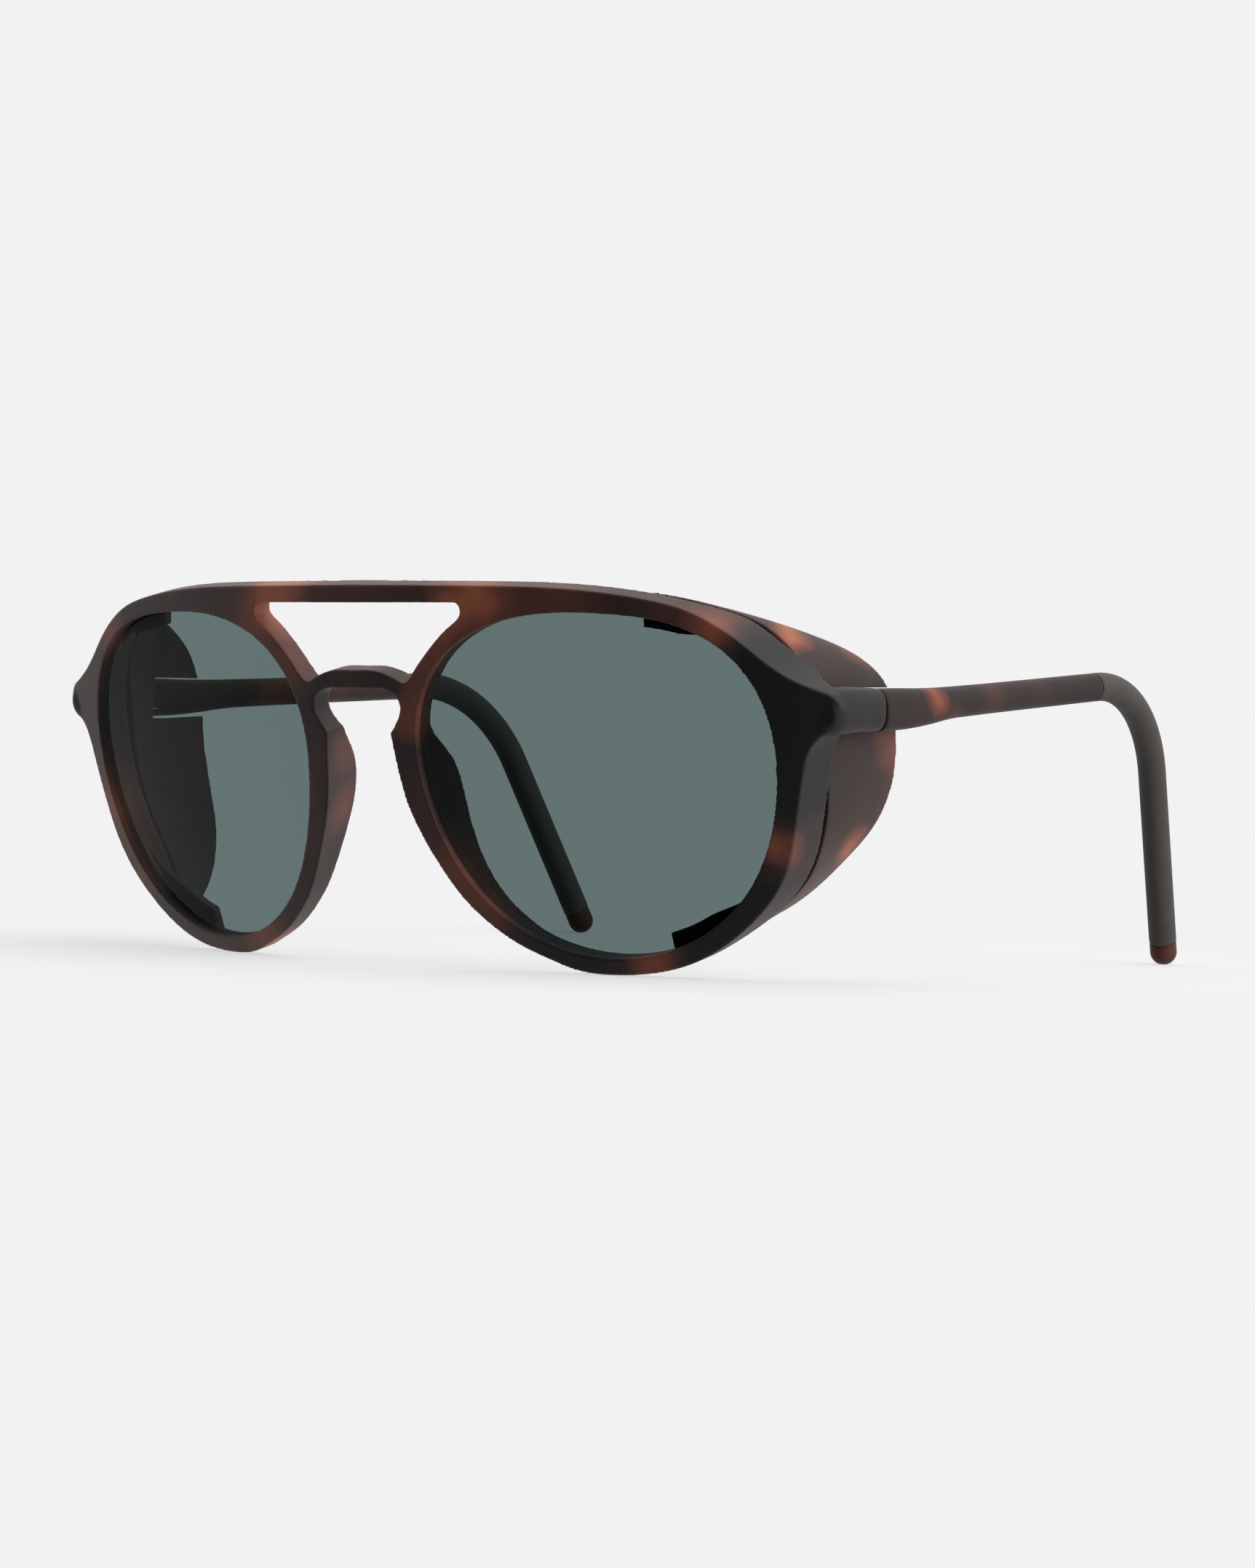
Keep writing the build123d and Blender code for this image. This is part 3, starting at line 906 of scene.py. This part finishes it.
# near the glasses part of the floor takes shadow; further off it only glows like the background
reach = {"From Min": 0.085, "From Max": 0.13, "To Min": 0.66}
far = n.add("ShaderNodeMapRange", reach, interpolation_type="SMOOTHSTEP")
n.link(length.outputs["Value"], far.inputs["Value"])
n.shader.inputs["Base Color"].default_value = (0.75, 0.75, 0.75, 1)
n.shader.inputs["Roughness"].default_value = 0.9
n.shader.inputs["Specular IOR Level"].default_value = 0.0
glow = n.add("ShaderNodeEmission", {"Color": (BACKGROUND, BACKGROUND, BACKGROUND, 1), "Strength": 1.0})
mixer = n.add("ShaderNodeMixShader")
n.link(far.outputs[0], mixer.inputs[0])
n.link(n.shader.outputs[0], mixer.inputs[1])
n.link(glow.outputs[0], mixer.inputs[2])
n.link(mixer.outputs[0], n.tree.nodes["Material Output"].inputs["Surface"])
dress(floor, n.material)

world = bpy.data.worlds.new("studio")
bpy.context.scene.world = world
world.use_nodes = True
tree = world.node_tree
background = tree.nodes["Background"]
coords = tree.nodes.new("ShaderNodeTexCoord")
split = tree.nodes.new("ShaderNodeSeparateXYZ")
tree.links.new(coords.outputs["Generated"], split.inputs[0])


def world_range(source, start, end, at_start, at_end):
    node = tree.nodes.new("ShaderNodeMapRange")
    node.interpolation_type = "SMOOTHSTEP"
    for key, value in (("From Min", start), ("From Max", end), ("To Min", at_start), ("To Max", at_end)):
        node.inputs[key].default_value = value
    tree.links.new(source, node.inputs["Value"])
    return node.outputs[0]


def world_math(operation, a, b):
    node = tree.nodes.new("ShaderNodeMath")
    node.operation = operation
    for index, value in enumerate((a, b)):
        if isinstance(value, (int, float)):
            node.inputs[index].default_value = value
        else:
            tree.links.new(value, node.inputs[index])
    return node.outputs[0]


lower = world_range(split.outputs["Z"], -0.10, -0.01, 0.7, BACKGROUND)
front_dim = world_range(split.outputs["Y"], -0.95, -0.2, 0.04, 1.0)
right_lift = world_range(split.outputs["X"], 0.1, 0.9, 1.0, 1.3)
shaped = world_math("MULTIPLY", world_math("MULTIPLY", lower, front_dim), right_lift)
ray = tree.nodes.new("ShaderNodeLightPath")
seen = world_math("MAXIMUM", ray.outputs["Is Camera Ray"], ray.outputs["Is Transmission Ray"])
backdrop = world_math("MULTIPLY", seen, BACKGROUND)
unseen = world_math("SUBTRACT", 1.0, seen)
strength = world_math("ADD", backdrop, world_math("MULTIPLY", unseen, shaped))
tree.links.new(strength, background.inputs["Strength"])
background.inputs["Color"].default_value = (1, 1, 1, 1)


def softbox(name, place, aim, size, power):
    light = bpy.data.lights.new(name, "AREA")
    light.shape = "RECTANGLE"
    light.size, light.size_y = size
    light.energy = power
    obj = bpy.data.objects.new(name, light)
    obj.location = place
    direction = Vector(aim) - Vector(place)
    obj.rotation_euler = direction.to_track_quat("-Z", "Y").to_euler()
    bpy.context.scene.collection.objects.link(obj)
    return obj


softbox("right_box", (0.95, -0.05, 0.55), (0.04, -0.02, 0.03), (0.9, 0.9), 5.0)
softbox("top_box", (0.1, 0.1, 1.1), (0, 0, 0.02), (1.1, 1.1), 4.0)

camera_data = bpy.data.cameras.new("camera")
camera_data.sensor_width = 36.0
camera_data.lens = 110.98
camera_data.clip_start = 0.01
camera = bpy.data.objects.new("camera", camera_data)
bpy.context.scene.collection.objects.link(camera)
eye = Vector((0.42677, -0.54563, 0.03196))
target = Vector((0.04485, -0.0568, 0.02547))
forward = (target - eye).normalized()
right = forward.cross(Vector((0, 0, 1))).normalized()
above = right.cross(forward)
roll = math.radians(1.28)
side = right * math.cos(roll) + above * math.sin(roll)
crown = above * math.cos(roll) - right * math.sin(roll)
camera.matrix_world = Matrix((
    (side.x, crown.x, -forward.x, eye.x),
    (side.y, crown.y, -forward.y, eye.y),
    (side.z, crown.z, -forward.z, eye.z),
    (0, 0, 0, 1),
))
bpy.context.scene.camera = camera
bpy.context.scene.view_settings.view_transform = "Standard"
